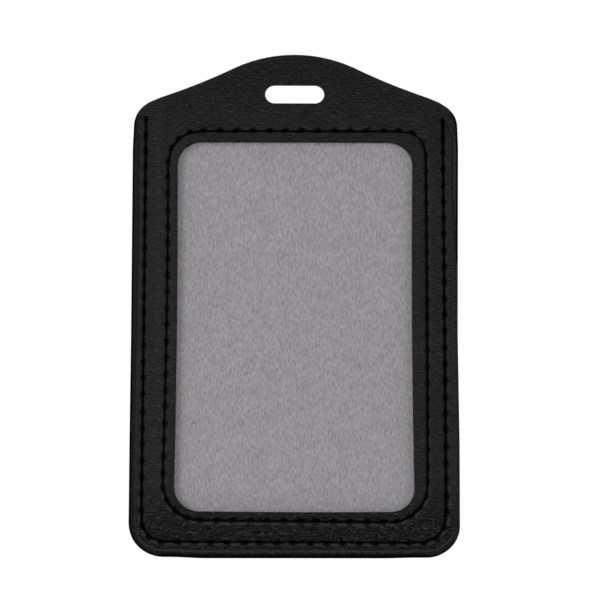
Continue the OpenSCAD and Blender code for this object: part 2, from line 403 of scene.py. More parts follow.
def grown(corners, grow):
    """The corners of a loop so far outside another one."""
    return [
        (x + math.copysign(grow, x), z + (grow if number in (0, 3) else -grow), r + grow, bow)
        for number, (x, z, r, bow) in enumerate(corners)
    ]


def seam_legs(corners, closed):
    """A seam's path: a closed one from the middle of its top, a U from its right end."""
    legs = rounded_loop(corners)
    if not closed:
        return legs[1:-2]
    top = legs.pop()
    middle = (top.start + top.end) / 2
    return [Line(middle, top.end), *legs, Line(top.start, middle)]


class Seam:
    """A seam: its path, its needle holes, and the stitches between them."""

    # The half width of the shade painted along the seam, as a share of the valley's: on an upright side, how
    # much less on a level one, and how much more where the seam is sewn over again
    SHADE_WIDTH = 0.74
    SHADE_LESS = 0.22
    SHADE_MORE = 0.9
    # The painted highlight on the lip: how far out it lies, its half width, and how far past a hole it
    # begins and is full
    LIP = 0.7 * MM
    LIP_W = 0.24 * MM
    LIP_BETWEEN = (0.4 * MM, 1.1 * MM)

    def __init__(self, corners, stitch, closed, seed):
        """A closed seam is drawn upwards at its needle holes, and a U-shaped one downwards."""
        self.stitch = stitch
        self.closed = closed
        self.legs = seam_legs(corners, closed)
        lengths = [leg.length() for leg in self.legs]
        crowded = [leg.length() * (stitch.crowd if isinstance(leg, Arc) else 1) for leg in self.legs]
        along, counted = np.cumsum([0, *lengths]), np.cumsum([0, *crowded])
        stitches = round(counted[-1] / stitch.pitch)
        places = counted[-1] * np.arange(stitches + (not closed)) / stitches
        places += np.random.default_rng(seed).uniform(-0.5, 0.5, len(places)) * stitch.drift
        self.holes = stations(self.legs, np.interp(places, counted, along))
        along = np.roll(self.holes, -1, axis=0) - np.roll(self.holes, 1, axis=0)
        if not closed:
            along[0], along[-1] = self.holes[1] - self.holes[0], self.holes[-1] - self.holes[-2]
        self.along = along / np.linalg.norm(along, axis=1)[:, None]
        self.out = np.column_stack((-self.along[:, 1], self.along[:, 0]))
        self.level = np.abs(self.out[:, 1])
        drawn = np.column_stack((np.zeros(len(self.holes)), self.level if closed else -self.level))
        self.dimples = self.holes + stitch.pull * drawn

    def to_stitches(self, points):
        """How far points are from the nearest stitch, each straight from hole to hole."""
        start, end = (np.array(ends) for ends in zip(*self.rows()))
        along = end - start
        apart = points[:, None] - start[None]
        place = np.clip(np.sum(apart * along, axis=2) / np.sum(along ** 2, axis=1), 0, 1)
        return np.min(np.linalg.norm(apart - place[..., None] * along, axis=2), axis=1)

    def distances(self, points):
        """How far points are from the seam and its nearest dimple, past that and outside, how level."""
        to_line = self.to_stitches(points)
        apart = points[:, None] - self.dimples[None]
        past = np.abs(np.sum(apart * self.along[None], axis=2))
        across = np.sum(apart * self.out[None], axis=2)
        nearest = np.argmin(np.hypot(past, across), axis=1)
        past, across = (values[np.arange(len(points)), nearest] for values in (past, across))
        to_hole = np.hypot(past / self.stitch.hole_stretch, across)
        return to_line, to_hole, past, across, self.level[nearest]

    def pull(self, points):
        """How far the seam pulls the leather in."""
        stitch = self.stitch
        to_line, to_hole, _, _, _ = self.distances(points)
        valley = stitch.valley * hill(to_line, stitch.valley_w)
        return valley + stitch.dimple * hill(to_hole, stitch.dimple_w)

    def shade(self, points):
        """Painted shade along the seam and in its needle holes, wider where it is sewn over again."""
        stitch = self.stitch
        to_line, to_hole, _, _, level = self.distances(points)
        width = (self.SHADE_WIDTH - self.SHADE_LESS * level) * stitch.valley_w
        if not self.closed:
            from_end = np.linalg.norm(points - self.holes[0], axis=1)
            width *= 1 + self.SHADE_MORE * (1 - smooth(0.8 * stitch.tack, stitch.tack, from_end))
        return np.maximum(hill(to_line, width, 4), hill(to_hole, stitch.dimple_w, 6))

    def painted_highlight(self, points):
        """A painted highlight on the lip outside the seam, where the leather swells between two holes."""
        to_line, _, past, across, _ = self.distances(points)
        lip = hill(to_line - self.LIP, self.LIP_W) * (across > 0)
        return lip * smooth(*self.LIP_BETWEEN, past)

    def rows(self):
        """The two ends of each stitch."""
        ends = list(zip(self.holes, np.roll(self.holes, -1, axis=0)))
        return ends if self.closed else ends[:-1]


def both_seams(settings):
    """The window seam and the side seam."""
    return [
        Seam(corners_of(settings.window_seam), settings.stitch, True, 11),
        Seam(corners_of(settings.side_seam), settings.stitch, False, 12),
    ]


def slot_legs(cover, rise, grow=0.0):
    """The upper and lower half of the slot's edge, or of a loop so far outside it, clockwise."""
    r = cover.slot_h / 2 + grow
    top_r = r + rise / 2
    straight = (cover.slot_w - cover.slot_h) / 2 + (cover.slot_spread if rise else 0)
    side = straight + r - top_r
    left, right = (-straight, 0), (straight, 0)
    upper = [
        Arc((-side, rise / 2), top_r, 180, 90),
        Line((-side, rise / 2 + top_r), (side, rise / 2 + top_r)),
        Arc((side, rise / 2), top_r, 90, 0),
    ]
    if rise:
        first = Line((-straight - r, 0), (-straight - r, rise / 2))
        upper = [first, *upper, Line((straight + r, rise / 2), (straight + r, 0))]
    lower = [Arc(right, r, 0, -90), Line((straight, -r), (-straight, -r)), Arc(left, r, -90, -180)]
    return upper, lower


class Arch:
    """The circles that make the arched top: dome, hollow flank and shoulder touch one another."""

    def __init__(self, cover, half_width):
        self.dome = np.array((0, cover.arch_top - cover.dome_r))
        shoulder = np.array((cover.back_x - cover.shoulder_r, -cover.shoulder_drop))
        reach = cover.dome_r + cover.flank_r
        side_reach = cover.shoulder_r + cover.flank_r
        gap = shoulder - self.dome
        d = np.linalg.norm(gap)
        along = (reach ** 2 - side_reach ** 2 + d ** 2) / (2 * d)
        across = math.sqrt(reach ** 2 - along ** 2)
        self.flank = self.dome + gap / d * along + np.array((-gap[1], gap[0])) / d * across
        x = half_width - cover.shoulder_r
        drop = math.sqrt(side_reach ** 2 - (self.flank[0] - x) ** 2)
        self.shoulder = np.array((x, self.flank[1] - drop))
        self.dome_turn = angle(self.dome, self.flank)
        self.shoulder_turn = angle(self.shoulder, self.flank)


def angle(start, end):
    """The direction from one point to another, in degrees."""
    return math.degrees(math.atan2(end[1] - start[1], end[0] - start[0]))


def mirrored(point):
    return (-point[0], point[1])


class Plan:
    """One sheet seen from the front: its outline, its holes and the columns of its mesh."""

    def __init__(self, settings, half_width, bottom, corner_radii, cell, window, rise=0.0):
        self.cover = settings.cover
        self.settings = settings
        self.half_width = half_width
        self.bottom = bottom
        self.corner_radii = corner_radii
        self.window = corners_of(settings.window) if window else None
        self.rise = rise
        self.arch = Arch(self.cover, half_width)
        lower, upper = self.legs()
        self.lower = [max(4, round(leg.length() / cell)) for leg in lower]
        least = round(math.radians(90) * settings.window.top_right[2] / cell)
        self.lower[0] = self.lower[-1] = max(self.lower[0], least)
        self.upper = [max(4, round(leg.length() / cell)) for leg in upper]
        self.chord = round(2 * half_width / cell)

    def legs(self, inset=0.0):
        """The outline so far inside the sheet's edge: below the bend, and over the arch."""
        cover, arch = self.cover, self.arch
        x, low = self.half_width - inset, self.bottom + inset
        left, right = (r - inset for r in self.corner_radii)
        s, round_s = arch.shoulder, cover.shoulder_r - inset
        bend = math.degrees(math.asin((cover.bend - s[1]) / round_s))
        turn, dome_turn = arch.shoulder_turn, arch.dome_turn
        flank_r = cover.flank_r + inset
        lower = [
            Arc(s, round_s, bend, 0),
            Line((x, s[1]), (x, low + right)),
            Arc((x - right, low + right), right, 0, -90),
            Line((x - right, low), (left - x, low)),
            Arc((left - x, low + left), left, -90, -180),
            Line((-x, low + left), (-x, s[1])),
            Arc(mirrored(s), round_s, 180, 180 - bend),
        ]
        upper = [
            Arc(mirrored(s), round_s, 180 - bend, 180 - turn),
            Arc(mirrored(arch.flank), flank_r, -turn, -dome_turn),
            Arc(arch.dome, cover.dome_r - inset, 180 - dome_turn, dome_turn),
            Arc(arch.flank, flank_r, dome_turn - 180, turn - 180),
            Arc(s, round_s, turn, bend),
        ]
        return lower, upper

    def rim(self, inset):
        """A ring of points so far inside the sheet's edge, clockwise from the bend's right end."""
        lower, upper = self.legs(inset)
        return np.vstack((in_counts(lower, self.lower), in_counts(upper, self.upper)))

    def outer_distance(self, points):
        """How far each point is from the outer edge."""
        lower, upper = self.legs()
        return outline_distance([*lower, *upper], points)

    def edges(self, points, radius):
        """How far a face falls back at the outer edge, rounded by a radius, and at the cuts."""
        outer = rounded(self.outer_distance(points), radius)
        return outer + rounded(self.cut_distance(points), self.cover.cut_r)

    def cut_distance(self, points):
        """How far each point is from the edge of the window or the slot."""
        upper, lower = slot_legs(self.cover, self.rise)
        window = rounded_loop(self.window) if self.window else []
        return outline_distance([*upper, *lower, *window], points)

    def lower_ring(self, inset):
        """The rim below the bend, closed by the bend line."""
        lower, _ = self.legs(inset)
        ends = lower[0].at([0])[0], lower[-1].at([1])[0]
        return in_counts([*lower, Line(ends[1], ends[0])], [*self.lower, self.chord])

    def upper_ring(self, inset):
        """The rim over the arch, closed by the bend line."""
        _, upper = self.legs(inset)
        ends = upper[0].at([0])[0], upper[-1].at([1])[0]
        return in_counts([*upper, Line(ends[1], ends[0])], [*self.upper, self.chord])

    def loop_ring(self, corners):
        """A ring on a loop with the same columns as the rim below the bend."""
        return in_counts(rounded_loop(corners), [*self.lower, self.chord])

    def slot_ring(self, grow):
        """A ring round the slot with the same columns as the rim over the arch."""
        upper, lower = slot_legs(self.cover, self.rise, grow)
        return np.vstack((spread(upper, sum(self.upper)), spread(lower, self.chord)))

    def key_loops(self):
        """Corners of loops that step in from the rim, past the side seam, to the raised middle."""
        cover = self.cover
        foot_x = cover.raised_x + cover.slope_w
        foot_bottom = cover.raised_bottom - cover.slope_w
        under_bend, sharp_r = 0.7 * MM, 1.5 * MM
        top = cover.bend - under_bend
        step = (top - self.settings.window_seam.top_left[1]) / 3
        side = [
            (x, max(z, top) if number in (0, 3) else z, r or sharp_r, bow)
            for number, (x, z, r, bow) in enumerate(corners_of(self.settings.side_seam))
        ]
        return [
            side,
            box_corners(foot_x, top - step, foot_bottom, 2 * MM, 3.6 * MM),
            box_corners(cover.raised_x, top - 2 * step, cover.raised_bottom, 4 * MM, 4.5 * MM),
        ]


def steps_between(rings, counts, ease=1.0):
    """The rings with so many steps from each one to the next, closer at first if eased."""
    made = [rings[0]]
    for start, end, count in zip(rings, rings[1:], counts):
        made += [start + (end - start) * (i / count) ** ease for i in range(1, count + 1)]
    return made


def rounding(radius, steps=3):
    """Insets from a rounded edge to the end of its rounding."""
    return [radius * (1 - math.cos(math.radians(90 * i / steps))) for i in range(steps + 1)]


def rounded(distance, radius):
    """How far a face falls back at a distance from a rounded edge."""
    inside = np.clip(radius - distance, 0, radius)
    return radius - np.sqrt(radius ** 2 - inside ** 2)


def smooth(low, high, values):
    """A smooth step from 0 at low to 1 at high."""
    t = np.clip((values - low) / (high - low), 0, 1)
    return t * t * (3 - 2 * t)


def hill(distance, half_width, power=2):
    """One at nought, falling to little past a half width, and more steeply at a higher power."""
    return np.exp(-((distance / half_width) ** power))


# Sheets: rings of points are skinned with faces, and each point carries its painted marks: edge paint, a
# darkening, which on the leather is painted shade, and a painted highlight


PAINTED_MARKS = ("paint", "shade", "painted_highlight")

# Rows of the front's mesh from the rim to the side seam, to the slope's foot and its top, and over
# the window seam to the window
FRONT_ROWS = (7, 4, 7, 2, 5, 5, 5)
# Rows from the arch to a loop round the slot, which are closer at the arch, and on to the slot, and
# how many of them the hidden face has
TAB_ROWS = 40
TAB_EASE = 1.5
SLOT_ROWS = 4
HIDDEN_ROWS = 15


class Face:
    """One face of a sheet: its height along Y, how it is out of true, and its painted marks."""

    def __init__(self, height, shift, **painted_marks):
        self.height = height
        self.shift = shift
        self.painted_marks = painted_marks

    def ring(self, points):
        moved = self.shift(points)
        places = np.column_stack((moved[:, 0], self.height(points), moved[:, 1]))
        return places, {name: painted_mark(points) for name, painted_mark in self.painted_marks.items()}


def same(value):
    """A height or a stain that is the same at every point."""
    return lambda points: np.full(len(points), value)


def new_sheet():
    """An empty mesh with its column numbers and its painted marks."""
    bm = bmesh.new()
    bm.verts.layers.int.new("column")
    for name in PAINTED_MARKS:
        bm.verts.layers.float.new(name)
    return bm


def set_ring(bm, verts, ring):
    """Puts one row of vertices on a ring, each at its own column."""
    column = bm.verts.layers.int["column"]
    places, painted_marks = ring
    layers = {name: bm.verts.layers.float[name] for name in painted_marks}
    for vert in verts:
        number = vert[column]
        vert.co = places[number]
        for name, values in painted_marks.items():
            vert[layers[name]] = values[number]


def skin(bm, *parts):
    """Extrudes a ring of vertices through the rings of each part, on that part's face.

    Returns the last ring's edges.
    """
    rings = [face.ring(points) for face, loops in parts for points in loops]
    column = bm.verts.layers.int["column"]
    verts = [bm.verts.new() for _ in rings[0][0]]
    for number, vert in enumerate(verts):
        vert[column] = number
    set_ring(bm, verts, rings[0])
    edges = [bm.edges.new(pair) for pair in zip(verts, verts[1:] + verts[:1])]
    for ring in rings[1:]:
        made = bmesh.ops.extrude_edge_only(bm, edges=edges)["geom"]
        new = {item for item in made if isinstance(item, bmesh.types.BMVert)}
        set_ring(bm, new, ring)
        edges = [e for e in made if isinstance(e, bmesh.types.BMEdge) and new.issuperset(e.verts)]
    return edges


def panel(bm, edges, face, x, low, high, cells):
    """Fills a loop with an even grid, joined to it all round."""
    grid = bmesh.ops.create_grid(bm, x_segments=cells[0], y_segments=cells[1], size=1)["verts"]
    column = bm.verts.layers.int["column"]
    for number, vert in enumerate(grid):
        vert[column] = number
    across = np.array([(v.co.x * x, low + (v.co.y + 1) / 2 * (high - low)) for v in grid])
    set_ring(bm, grid, face.ring(across))
    border = dict.fromkeys(e for v in grid for e in v.link_edges if e.is_boundary)
    bmesh.ops.bridge_loops(bm, edges=[*border, *edges])


def finish_sheet(bm, name):
    """Welds a sheet's faces along their shared rings and makes it an object."""
    bmesh.ops.remove_doubles(bm, verts=bm.verts, dist=1e-6)
    bmesh.ops.recalc_face_normals(bm, faces=bm.faces)
    return to_object(bm, name, crease=35)


def to_object(bm, name, crease):
    """Turns a bmesh into a smooth object, with sharp edges past an angle in degrees."""
    limit = math.radians(crease)
    for face in bm.faces:
        face.smooth = True
    for edge in bm.edges:
        edge.smooth = edge.calc_face_angle(0) < limit
    mesh = bpy.data.meshes.new(name)
    bm.to_mesh(mesh)
    bm.free()
    made = bpy.data.objects.new(name, mesh)
    bpy.context.scene.collection.objects.link(made)
    return made


def edge_rings(plan, insets, cut_radius):
    """The rings along the rim, from there to the slot, and over the slot's rounded edge."""
    rims = [plan.rim(inset) for inset in insets]
    to_slot = [plan.upper_ring(insets[-1]), plan.slot_ring(1.2 * MM), plan.slot_ring(cut_radius)]
    return rims, to_slot, [plan.slot_ring(grow) for grow in rounding(cut_radius)]


def front_sheet(name, plan, detailed, plain, radius, cut_radius):
    """A sheet with the window: a detailed face, a plain one and the walls between them."""
    bm = new_sheet()
    insets = [*rounding(radius), 0.6 * MM, 0.85 * MM, 1.2 * MM]
    rims, to_slot, slot_edge = edge_rings(plan, insets, cut_radius)
    seam = corners_of(plan.settings.window_seam)
    loops = [*plan.key_loops(), grown(seam, 0.9 * MM), seam, grown(seam, -0.8 * MM),
             grown(plan.window, cut_radius)]
    keys = [plan.lower_ring(insets[-1]), *(plan.loop_ring(corners) for corners in loops)]
    tab_rows = steps_between(to_slot[:2], (TAB_ROWS,), TAB_EASE)
    tab_rows += steps_between(to_slot[1:], (SLOT_ROWS,))[1:]
    window_edge = [plan.loop_ring(grown(plan.window, grow)) for grow in rounding(cut_radius)]
    skin(bm, (detailed, rims))
    skin(bm, (detailed, [*steps_between(keys, FRONT_ROWS), *window_edge[-2::-1]]))
    skin(bm, (detailed, [*tab_rows, *slot_edge[-2::-1]]))
    skin(bm, (detailed, rims[:1]), (plain, [rims[0], rims[-1]]))
    skin(bm, (plain, [*keys[:-1], window_edge[0]]), (detailed, window_edge[:1]))
    skin(bm, (plain, [*tab_rows[:HIDDEN_ROWS], slot_edge[0]]), (detailed, slot_edge[:1]))
    return finish_sheet(bm, name)


def back_sheet(name, plan, detailed, plain, radius, cut_radius, rows, cells):
    """A sheet without the window, filled by a panel."""
    cover = plan.cover
    bm = new_sheet()
    insets = [*rounding(radius), 0.6 * MM, 1 * MM, 1.5 * MM, 2 * MM]
    rims, to_slot, slot_edge = edge_rings(plan, insets, cut_radius)
    keys = [plan.lower_ring(insets[-1]), *(plan.loop_ring(corners) for corners in plan.key_loops())]
    half_width = cover.raised_x - 3 * MM
    low, high = cover.raised_bottom + 3 * MM, cover.bend - 6 * MM
    skin(bm, (detailed, rims))
    last = skin(bm, (detailed, steps_between(keys, rows)))
    panel(bm, last, detailed, half_width, low, high, cells)
    skin(bm, (detailed, [*steps_between(to_slot, (12, 4)), *slot_edge[-2::-1]]))
    skin(bm, (detailed, rims[:1]), (plain, [rims[0], rims[-1]]))
    last = skin(bm, (plain, keys))
    bmesh.ops.contextual_create(bm, geom=last)
    skin(bm, (plain, [to_slot[0], slot_edge[0]]), (detailed, slot_edge[:1]))
    return finish_sheet(bm, name)


# Shapes of the faces

# Where the outline goes out of true or comes back to it, measured down from the slot
UNDER_ARCH = (6 * MM, 12 * MM)
INTO_SHOULDER = (-5 * MM, 5 * MM)
OUT_OF_SHOULDER = (5 * MM, 13 * MM)
LOWER_SIDE = (20 * MM, 45 * MM)
# The same as heights, and as distances from the middle line
UP_FROM_FOOT = (-90 * MM, -30 * MM)
INTO_CORNER = (20 * MM, 28 * MM)

# Small folds at the shoulders, how deep and wide they are, and how dark and wide the shade painted in them
# is
FOLDS = [
    Line((35.1 * MM, -6.8 * MM), (36.1 * MM, -9.5 * MM)),
    Line((35.6 * MM, -4.6 * MM), (36 * MM, -5.3 * MM)),
    Line((-35.6 * MM, -4.9 * MM), (-36 * MM, -5.9 * MM)),
]
FOLD_DEPTH = 0.2 * MM
FOLD_W = 0.25 * MM
FOLD_SHADE = 0.9
FOLD_SHADE_W = 0.18 * MM


def waves(points, size, height):
    """Gentle unevenness, from nought to twice the height: three crossed waves."""
    x, z = points.T / size
    return height / 3 * (
        3 + np.sin(x + 0.7 * z) + np.sin(0.6 * x - 1.3 * z + 1.9) + np.sin(1.7 * x + 0.4 * z + 4.1)
    )


def past_raised(cover, points):
    """How far each point is outside the raised middle, which is open at its top."""
    out_x = np.abs(points[:, 0]) - (cover.raised_x - cover.raised_r)
    out_z = cover.raised_bottom + cover.raised_r - points[:, 1]
    outside = np.hypot(np.maximum(out_x, 0), np.maximum(out_z, 0))
    return outside + np.minimum(np.maximum(out_x, out_z), 0) - cover.raised_r


def formed(cover, front, points):
    """A hidden face of the formed front, with its raised middle at the height front."""
    return front + cover.rise * smooth(0, cover.slope_w, past_raised(cover, points))


def soft_ramp(low, high, values, blend=0.3):
    """An even ramp from 0 at low to 1 at high, with its two ends rounded off."""

    def knee(u):
        return np.where(u < -blend, 0, np.where(u > blend, u, (u + blend) ** 2 / (4 * blend)))

    t = (values - low) / (high - low)
    return (knee(t - blend / 2) - knee(t - 1 + blend / 2)) / (1 - blend)


def eased(cover, front, points):
    """The grain side of the formed front: the same slope, wider and even."""
    past = past_raised(cover, points)
    return front + cover.rise * soft_ramp(-cover.ease, cover.slope_w + cover.ease, past)


def cut_paint(plan, reach, cut_reach):
    """Edge paint within reach of the outer edge and of the cuts, thinning out at its border."""

    full = 0.66

    def paint(points):
        outer, cut = plan.outer_distance(points), plan.cut_distance(points)
        thin = smooth(full * reach, reach, outer) * smooth(full * cut_reach, cut_reach, cut)
        return 1 - thin

    return paint


def out_of_true(plan, front):
    """How the sheets of one cover are cut and sewn a little out of true."""
    cover = plan.cover
    past_slope = 0.9 * MM
    seam_x = cover.raised_x + cover.slope_w + past_slope
    seam_z = cover.raised_bottom - cover.slope_w - past_slope
    wide, deep = plan.half_width - seam_x, seam_z - plan.bottom
    heights = cover.bend + (plan.bottom - cover.bend) * np.linspace(0, 1, 5)

    def shift(points):
        x, z = points.T
        right = np.clip((x - seam_x) / wide, 0, 1)
        left = np.clip((-seam_x - x) / wide, 0, 1)
        below = np.clip((seam_z - z) / deep, 0, 1)
        lean_in = cover.shoulder_in * (1 - smooth(*OUT_OF_SHOULDER, -z)) * smooth(*INTO_SHOULDER, -z)
        dx = right * (np.interp(-z, -heights, cover.right_lean) - lean_in)
        dx -= left * (np.interp(-z, -heights, cover.left_lean) - lean_in)
        lift = cover.lift_left * smooth(*INTO_CORNER, -x) + cover.lift_right * smooth(*INTO_CORNER, x)
        dz = lift * below
        if front:
            under_arch, lower = smooth(*UNDER_ARCH, -z), smooth(*LOWER_SIDE, -z)
            trim = cover.trim_foot + (cover.trim_top - cover.trim_foot) * smooth(*UP_FROM_FOOT, z)
            dx += trim * left * under_arch
            dx += right * (cover.reach_right * lower - cover.trim_right * under_arch * (1 - lower))
            dz += cover.trim_bottom * below
        return points + np.column_stack((dx, dz))

    return shift


# Materials


def give(tree, sockets, values):
    """Gives each of these sockets its value or its link."""
    for name, value in values.items():
        if isinstance(value, bpy.types.NodeSocket):
            tree.links.new(value, sockets[name])
        else:
            sockets[name].default_value = value


def node(tree, kind, inputs=None, **settings):
    """Adds a node, sets it up, and gives each input a value or a link."""
    made = tree.nodes.new(kind)
    for name, value in settings.items():
        setattr(made, name, value)
    give(tree, made.inputs, inputs or {})
    return made


def maths(tree, operation, first, second=0.0):
    return node(tree, "ShaderNodeMath", {0: first, 1: second}, operation=operation).outputs[0]


def times(tree, first, second):
    return maths(tree, "MULTIPLY", first, second)


def larger(tree, first, second):
    return maths(tree, "MAXIMUM", first, second)


def vector_maths(tree, operation, inputs):
    return node(tree, "ShaderNodeVectorMath", inputs, operation=operation).outputs


def mixed(tree, amount, first, second):
    """A colour between two others."""
    return node(tree, "ShaderNodeMix", {0: amount, 6: first, 7: second}, data_type="RGBA").outputs[2]


def ranged(tree, value, low, high, new_low, new_high):
    """A value moved from one range to another, and kept in it."""
    inputs = {0: value, 1: low, 2: high, 3: new_low, 4: new_high}
    return node(tree, "ShaderNodeMapRange", inputs).outputs[0]


def noise(tree, place, scale, detail=2.0, **more):
    """Cloudy values about a half."""
    inputs = {"Vector": place, "Scale": scale, "Detail": detail, **more}
    return node(tree, "ShaderNodeTexNoise", inputs).outputs[0]


def bumped(tree, height, depth):
    """A normal that follows a height, so deep."""
    return node(tree, "ShaderNodeBump", {"Height": height, "Distance": depth}).outputs[0]


def rgba(value, strength=1.0):
    """A colour as a socket takes it, made so much brighter."""
    return (*(part * strength for part in value), 1.0)


def new_group(name, inputs, outputs):
    """An empty node group with these sockets. Returns its tree, its inputs and its outputs."""
    tree = bpy.data.node_groups.new(name, "ShaderNodeTree")
    for way, sockets in (("INPUT", inputs), ("OUTPUT", outputs)):
        for label, kind in sockets.items():
            tree.interface.new_socket(name=label, in_out=way, socket_type="NodeSocket" + kind)
    given, result = tree.nodes.new("NodeGroupInput"), tree.nodes.new("NodeGroupOutput")
    return tree, given.outputs, result.inputs


def in_cells(tree, vector, width, stretch):
    """A place counted in cells of a width, and squeezed upright by stretch."""
    per_cell = maths(tree, "DIVIDE", 1.0, width)
    counted = vector_maths(tree, "SCALE", {0: vector, "Scale": per_cell})[0]
    squeeze = node(tree, "ShaderNodeCombineXYZ", {0: 1.0, 1: 1.0, 2: stretch}).outputs[0]
    return vector_maths(tree, "MULTIPLY", {0: counted, 1: squeeze})[0]


def folded_grain(name):
    """Leather grain: low level folds that wander and break off, in lighter and darker drifts."""
    tree, given, result = new_group(
        name, {"Vector": "Vector", "Length": "Float", "Spacing": "Float", "Wander": "Float"},
        {"Height": "Float", "Crease": "Float", "Raised": "Float", "Tone": "Float"},
    )
    place = in_cells(tree, given["Vector"], given["Length"], 1.8)
    up = node(tree, "ShaderNodeSeparateXYZ", {0: given["Vector"]}).outputs[2]
    count = maths(tree, "ADD", maths(tree, "DIVIDE", up, given["Spacing"]),
                  times(tree, noise(tree, place, 1.0), given["Wander"]))
    ripple = maths(tree, "SINE", times(tree, count, 2 * math.pi))
    strength = ranged(tree, noise(tree, place, 0.8, 1.0), 0.35, 0.6, 0.35, 1.0)
    height = times(tree, ripple, strength)
    give(tree, result, {
        "Height": height,
        "Crease": ranged(tree, height, -0.8, 0.1, 1.0, 0.0),
        "Raised": ranged(tree, height, 0.15, 0.9, 0.0, 1.0),
        "Tone": noise(tree, place, 0.12),
    })


def painted_edge(name):
    """Black paint over a masked edge, with a slightly ragged border."""
    tree, given, result = new_group(
        name, {"Vector": "Vector", "Mask": "Float", "Colour": "Color", "Roughness": "Float",
               "Paint": "Color", "Paint roughness": "Float"},
        {"Colour": "Color", "Roughness": "Float"},
    )
    ragged = maths(tree, "SUBTRACT", noise(tree, given["Vector"], 2500.0), 0.5)
    mask = ranged(tree, maths(tree, "ADD", given["Mask"], ragged), 0.35, 0.65, 0.0, 1.0)
    both = {0: mask, 2: given["Roughness"], 3: given["Paint roughness"]}
    give(tree, result, {
        "Colour": mixed(tree, mask, given["Colour"], given["Paint"]),
        "Roughness": node(tree, "ShaderNodeMix", both).outputs[0],
    })


def napped_cloth(name):
    """Brushed cloth: fine upright strands over soft patches."""
    tree, given, result = new_group(
        name, {"Vector": "Vector", "Strand width": "Float", "Strand length": "Float"},
        {"Strand": "Float", "Patch": "Float", "Height": "Float"},
    )
    slim = maths(tree, "DIVIDE", given["Strand width"], given["Strand length"])
    place = in_cells(tree, given["Vector"], given["Strand width"], slim)
    strand = noise(tree, place, 1.0, 3.0, Roughness=0.65, Distortion=0.4)
    give(tree, result, {
        "Strand": ranged(tree, strand, 0.33, 0.67, 0.0, 1.0),
        "Patch": noise(tree, given["Vector"], 220.0),
        "Height": strand,
    })


GROUPS = {"Folded grain": folded_grain, "Painted edge": painted_edge, "Napped cloth": napped_cloth}


def placed(tree, name, inputs):
    """Puts a node group in a material, and builds it at its first use. Returns its outputs."""
    if name not in bpy.data.node_groups:
        GROUPS[name](name)
    return node(tree, "ShaderNodeGroup", inputs, node_tree=bpy.data.node_groups[name]).outputs


def new_material(name):
    """A node material. Returns it, its tree, its shader and its object coordinates."""
    made = bpy.data.materials.new(name)
    made.use_nodes = True
    tree = made.node_tree
    shader = next(n for n in tree.nodes if n.type == "BSDF_PRINCIPLED")
    place = tree.nodes.new("ShaderNodeTexCoord").outputs["Object"]
    return made, tree, shader, place


def mix_in(tree, amount, shader, other):
    """Shows a material's shader with so much of another one in it."""
    both = node(tree, "ShaderNodeMixShader", {0: amount, 1: shader.outputs[0], 2: other}).outputs[0]
    output = next(n for n in tree.nodes if n.type == "OUTPUT_MATERIAL")
    tree.links.new(both, output.inputs["Surface"])


def painted_mark_of(tree, name):
    """One of the painted marks that a sheet's mesh carries."""
    return node(tree, "ShaderNodeAttribute", attribute_name=name).outputs["Fac"]


def paint_edges(tree, shader, place, finish, colours, roughness, paint_roughness):
    """Gives a sheet's shader its colours and roughness, with paint over them along its edges."""
    edge = placed(tree, "Painted edge", {
        "Vector": place, "Mask": painted_mark_of(tree, "paint"), "Colour": colours, "Roughness": roughness,
        "Paint": rgba(finish.paint), "Paint roughness": paint_roughness,
    })
    give(tree, shader.inputs, {"Base Color": edge["Colour"], "Roughness": edge["Roughness"]})


# Heights between which a front with painted uneven light changes: its grain runs wilder, its foot gets
# deeper grain and painted shade, its tab gets deeper grain, and its top gets painted shade
WILD_GRAIN = (-82 * MM, -96 * MM)
DEEP_SHADED_FOOT = (-88 * MM, -98 * MM)
WORN_TAB = (-20 * MM, -4 * MM)
SHADED_TOP = (-20 * MM, 9 * MM)


def leather_material(finish, name, painted_uneven_light):
    """Black leather grain, satin, with painted shade in its creases and where the stitches pull it in,
    painted glints and highlights, and painted edges.
    """
    made, tree, shader, place = new_material(name)
    wander = finish.wander
    if painted_uneven_light:
        up = node(tree, "ShaderNodeSeparateXYZ", {0: place}).outputs[2]
        wander = ranged(tree, up, *WILD_GRAIN, wander, 1.35 * wander)
        foot = ranged(tree, up, *DEEP_SHADED_FOOT, 0.0, 1.0)
        depth = larger(tree, ranged(tree, up, *WORN_TAB, 0.46, 0.5), foot)
        # Painted shade: darker at the foot and towards the top
        dark = larger(tree, foot, ranged(tree, up, *SHADED_TOP, 0.0, 0.9))
    grain = placed(tree, "Folded grain", {
        "Vector": place, "Length": finish.fold, "Spacing": finish.spacing, "Wander": wander,
    })
    drifts = ranged(tree, grain["Tone"], 0.35, 0.65, 0.0, 1.0)
    base = mixed(tree, drifts, rgba(finish.leather, 0.92), rgba(finish.leather, 1.08))
    if painted_uneven_light:
        base = mixed(tree, dark, base, rgba(finish.leather, 0.5))
    else:
        depth = ranged(tree, grain["Tone"], 0.3, 0.7, 0.5, 0.7)
    # Painted shade in the grain's creases, and painted glints on its raised tops
    crease_shaded = mixed(tree, times(tree, grain["Crease"], depth), base, rgba(finish.crease))
    painted_glints = times(tree, times(tree, grain["Raised"], depth), 0.7)
    # Painted highlights on the grain's tops, on the seams' lips and along the outer edge
    painted_light = larger(tree, painted_glints, times(tree, painted_mark_of(tree, "painted_highlight"), 0.8))
    raised = mixed(tree, painted_light, crease_shaded, rgba(finish.painted_light))
    # Painted shade along the seams and in the shoulder folds
    seam_and_fold_shaded = mixed(tree, painted_mark_of(tree, "shade"), raised, rgba(finish.painted_mark))
    satin = ranged(tree, grain["Tone"], 0.3, 0.7, 0.38, 0.46)
    paint_edges(tree, shader, place, finish, seam_and_fold_shaded, satin, 0.4)
    height = times(tree, grain["Height"], depth)
    give(tree, shader.inputs, {
        "Specular IOR Level": 0.03, "Normal": bumped(tree, height, finish.grain_depth),
    })
    return made


